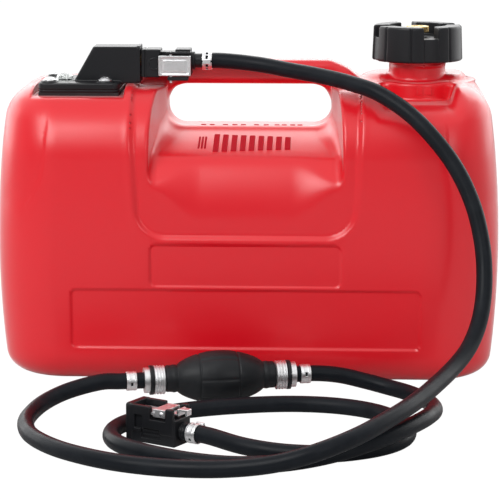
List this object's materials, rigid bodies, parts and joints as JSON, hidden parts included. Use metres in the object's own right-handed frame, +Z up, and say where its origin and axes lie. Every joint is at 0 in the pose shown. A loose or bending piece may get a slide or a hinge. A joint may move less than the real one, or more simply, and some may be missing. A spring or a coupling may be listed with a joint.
{
  "type": "portable fuel tank",
  "caption": "Portable moulded fuel tank for an outboard engine, with carrying handle, screw cap with vent, pickup unit with gauge, primer bulb, hose and latching connectors.",
  "frame": {"origin": "middle of the tank's footprint, on the surface it stands on", "axes": "+Z up, +X along the tank towards the filler, +Y to the back; the hose and bulb lie in front, towards -Y"},
  "size_m": [0.412, 0.4591, 0.2859],
  "materials": {
    "red_plastic": "blow-moulded polyethylene, satin",
    "black_plastic": "moulded, fine grain",
    "hose_rubber": "smooth satin",
    "bulb_rubber": "moulded satin",
    "seal_rubber": "smooth",
    "steel": "stainless, lightly brushed",
    "brass": "machined",
    "clear_plastic": "clear moulded",
    "white_plastic": "smooth",
    "ivory_plastic": "natural nylon"
  },
  "bodies": {
    "tank": {"tank_shell": "red_plastic", "base_gasket": "seal_rubber", "pickup_housing": "black_plastic", "base_screws": "steel", "gauge_lens": "clear_plastic", "gauge_stem": "black_plastic", "gauge_pin": "steel", "pickup_tube": "ivory_plastic", "strainer": "ivory_plastic", "outlet_nipple": "brass", "nipple_seal": "seal_rubber", "tank_connector": "black_plastic", "tank_latch_pin": "steel", "tank_barb": "brass", "tank_clamp": "steel", "tank_hose": "hose_rubber", "inlet_clamp": "steel", "inlet_ring": "steel", "inlet_valve": "black_plastic", "inlet_ferrule": "steel", "primer_bulb": "bulb_rubber", "outlet_ferrule": "steel", "outlet_valve": "black_plastic", "outlet_ring": "steel", "outlet_clamp": "steel", "engine_hose": "hose_rubber", "engine_clamp": "steel", "engine_barb": "brass", "engine_connector": "black_plastic", "socket_seal": "seal_rubber", "engine_latch_pin": "steel"},
    "cap_carrier": {"cap_gasket": "seal_rubber"},
    "cap": {"filler_cap": "black_plastic"},
    "vent_carrier": {"vent_washer": "seal_rubber"},
    "vent": {"vent_screw": "brass"},
    "tank_latch": {"tank_latch": "steel"},
    "engine_latch": {"engine_latch": "steel"},
    "float": {"float_arm": "steel", "float": "ivory_plastic"},
    "pointer": {"gauge_pointer": "white_plastic"},
    "inlet_flap": {"inlet_flap": "seal_rubber"},
    "outlet_flap": {"outlet_flap": "seal_rubber"},
    "check_ball": {"check_ball": "steel"}
  },
  "joints": [
    {"name": "cap_lift", "type": "slide", "parent": "tank", "child": "cap_carrier", "axis": [0, 0, 1], "range_m": [0, 0.015]},
    {"name": "cap_turn", "type": "hinge", "parent": "cap_carrier", "child": "cap", "pos_m": [0.1388, 0, 0.27], "axis": [0, 0, 1], "range_deg": [0, 900]},
    {"name": "vent_lift", "type": "slide", "parent": "cap", "child": "vent_carrier", "axis": [0, 0, 1], "range_m": [0, 0.0015]},
    {"name": "vent_turn", "type": "hinge", "parent": "vent_carrier", "child": "vent", "pos_m": [0.1388, 0, 0.28], "axis": [0, 0, 1], "range_deg": [0, 540]},
    {"name": "tank_latch", "type": "hinge", "parent": "tank", "child": "tank_latch", "pos_m": [-0.063, -0.0399, 0.2536], "axis": [0, 0, 1], "range_deg": [0, 9], "stiffness_Nm_per_rad": 0.05},
    {"name": "engine_latch", "type": "hinge", "parent": "tank", "child": "engine_latch", "pos_m": [-0.05495, -0.259, 0.0236], "axis": [0.5, 0.866, 0], "range_deg": [-4, 5], "stiffness_Nm_per_rad": 0.05},
    {"name": "float_swing", "type": "hinge", "parent": "tank", "child": "float", "pos_m": [-0.1515, -0.027, 0.13], "axis": [1, 0, 0], "range_deg": [-38, 38]},
    {"name": "gauge_turn", "type": "hinge", "parent": "tank", "child": "pointer", "pos_m": [-0.1515, -0.027, 0.239], "axis": [0, 0, 1], "range_deg": [-38, 38]},
    {"name": "inlet_flap", "type": "slide", "parent": "tank", "child": "inlet_flap", "axis": [0.9781, 0.2079, 0], "range_m": [0, 0.002], "stiffness_N_per_m": 20},
    {"name": "outlet_flap", "type": "slide", "parent": "tank", "child": "outlet_flap", "axis": [0.9781, 0.2079, 0], "range_m": [0, 0.002], "stiffness_N_per_m": 20},
    {"name": "check_ball", "type": "slide", "parent": "tank", "child": "check_ball", "axis": [0.866, -0.5, 0], "range_m": [0, 0.002], "stiffness_N_per_m": 20}
  ],
  "couplings": [
    {"joint": "cap_lift", "follows": "cap_turn", "m_per_rad": 0.00095493},
    {"joint": "vent_lift", "follows": "vent_turn", "m_per_rad": 0.00015915},
    {"joint": "gauge_turn", "follows": "float_swing", "ratio": 1}
  ]
}
